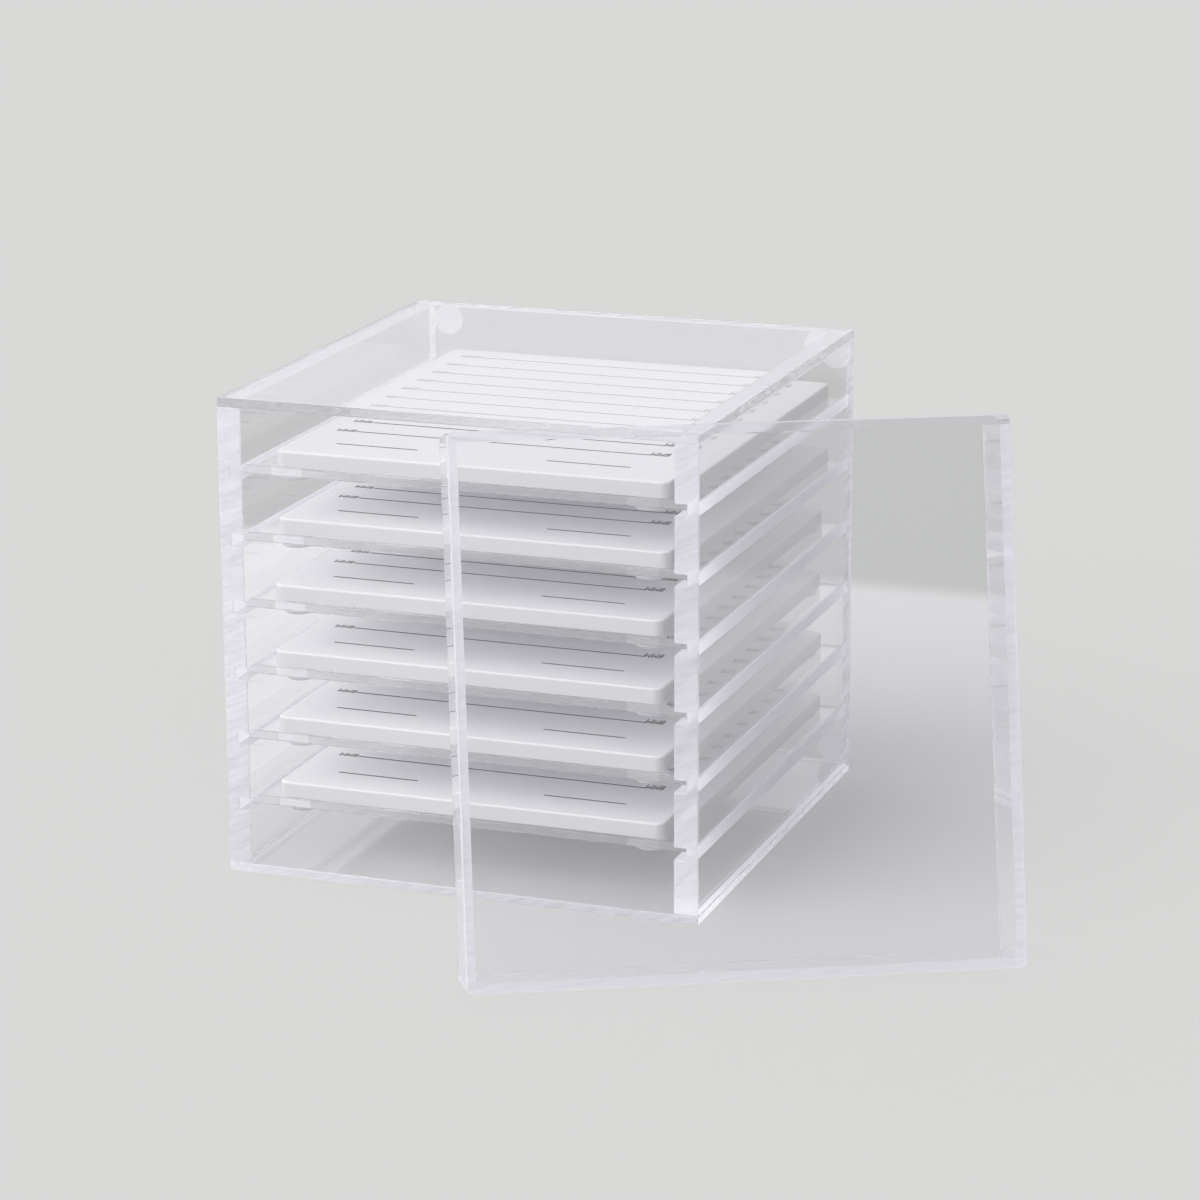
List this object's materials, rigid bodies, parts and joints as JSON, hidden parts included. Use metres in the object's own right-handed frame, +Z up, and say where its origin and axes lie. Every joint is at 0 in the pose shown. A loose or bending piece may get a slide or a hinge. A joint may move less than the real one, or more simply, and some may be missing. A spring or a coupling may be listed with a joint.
{
  "type": "eyelash storage case",
  "caption": "Clear box with sliding trays, each with a white ruled tile for false-lash strips; its slip-over front cover leans against the front corner.",
  "frame": {"origin": "middle of the cabinet's underside, on the surface it stands on", "axes": "+Z up; -Y is the cabinet's open front, which the trays slide out of; +X is the cabinet's right as seen from the front"},
  "size_m": [0.2694, 0.2618, 0.1664],
  "materials": {
    "clear_acrylic": "polished, clear",
    "white_acrylic": "gloss, with fine grey printed lines and small printed labels",
    "clear_rubber": "soft, clear"
  },
  "bodies": {
    "case": {"left_side_panel": "clear_acrylic", "right_side_panel": "clear_acrylic", "top_panel": "clear_acrylic", "base_panel": "clear_acrylic", "back_panel": "clear_acrylic", "back_bumpers": "clear_rubber"},
    "tray_1": {"tray_plate_1": "clear_acrylic", "lash_tile_1": "white_acrylic", "tray_feet_1": "clear_rubber"},
    "tray_2": {"tray_plate_2": "clear_acrylic", "lash_tile_2": "white_acrylic", "tray_feet_2": "clear_rubber"},
    "tray_3": {"tray_plate_3": "clear_acrylic", "lash_tile_3": "white_acrylic", "tray_feet_3": "clear_rubber"},
    "tray_4": {"tray_plate_4": "clear_acrylic", "lash_tile_4": "white_acrylic", "tray_feet_4": "clear_rubber"},
    "tray_5": {"tray_plate_5": "clear_acrylic", "lash_tile_5": "white_acrylic", "tray_feet_5": "clear_rubber"},
    "tray_6": {"tray_plate_6": "clear_acrylic", "lash_tile_6": "white_acrylic", "tray_feet_6": "clear_rubber"},
    "cover": {"cover_front_sheet": "clear_acrylic", "cover_top_wall": "clear_acrylic", "cover_bottom_wall": "clear_acrylic", "cover_left_wall": "clear_acrylic", "cover_right_wall": "clear_acrylic"}
  },
  "joints": [
    {"name": "tray_1_slide", "type": "slide", "parent": "case", "child": "tray_1", "axis": [0, -1, 0], "range_m": [0, 0.0425]},
    {"name": "tray_2_slide", "type": "slide", "parent": "case", "child": "tray_2", "axis": [0, -1, 0], "range_m": [0, 0.0485]},
    {"name": "tray_3_slide", "type": "slide", "parent": "case", "child": "tray_3", "axis": [0, -1, 0], "range_m": [0, 0.055]},
    {"name": "tray_4_slide", "type": "slide", "parent": "case", "child": "tray_4", "axis": [0, -1, 0], "range_m": [0, 0.06]},
    {"name": "tray_5_slide", "type": "slide", "parent": "case", "child": "tray_5", "axis": [0, -1, 0], "range_m": [0, 0.0655]},
    {"name": "tray_6_slide", "type": "slide", "parent": "case", "child": "tray_6", "axis": [0, -1, 0], "range_m": [0, 0.0705]},
    {"name": "cover_lift", "type": "slide", "parent": "case", "child": "cover", "axis": [0, 0, 1], "range_m": [0, 0.18]}
  ]
}
